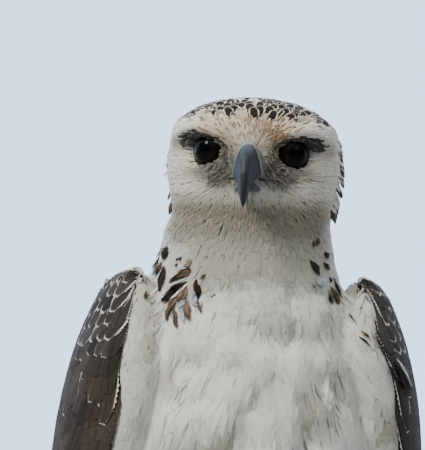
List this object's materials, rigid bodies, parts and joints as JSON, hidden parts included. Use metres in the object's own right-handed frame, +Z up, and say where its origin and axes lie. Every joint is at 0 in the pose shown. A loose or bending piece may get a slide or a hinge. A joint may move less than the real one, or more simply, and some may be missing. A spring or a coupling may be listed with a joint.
{
  "type": "martial eagle model",
  "caption": "Life-size still model of a young martial eagle standing upright, wings folded, head turned to the viewer.",
  "frame": {"origin": "on the floor, under the middle of the bird's bounding box", "axes": "+Z up, the bird's body faces -Y, and its left side is +X"},
  "size_m": [0.2426, 0.3272, 0.73],
  "materials": {
    "white_feather": "soft matt feather",
    "brown_feather": "matt feather with pale edges",
    "slate_horn": "satin horn",
    "grey_cere": "waxy skin",
    "dark_eye": "wet gloss",
    "pale_toe": "scaly skin",
    "black_talon": "polished horn"
  },
  "bodies": {
    "root": {"bill_lower": "slate_horn", "bill_upper": "slate_horn", "cere": "grey_cere", "eye_left": "dark_eye", "eye_right": "dark_eye", "foot_left": "pale_toe", "foot_right": "pale_toe", "head": "white_feather", "neck": "white_feather", "shank_left": "white_feather", "shank_right": "white_feather", "tail": "brown_feather", "talon_hind_left": "black_talon", "talon_hind_right": "black_talon", "talon_inner_left": "black_talon", "talon_inner_right": "black_talon", "talon_middle_left": "black_talon", "talon_middle_right": "black_talon", "talon_outer_left": "black_talon", "talon_outer_right": "black_talon", "thigh_left": "white_feather", "thigh_right": "white_feather", "torso": "white_feather", "wing_left": "brown_feather", "wing_right": "brown_feather", "wing_tip_left": "brown_feather", "wing_tip_right": "brown_feather"}
  },
  "joints": []
}
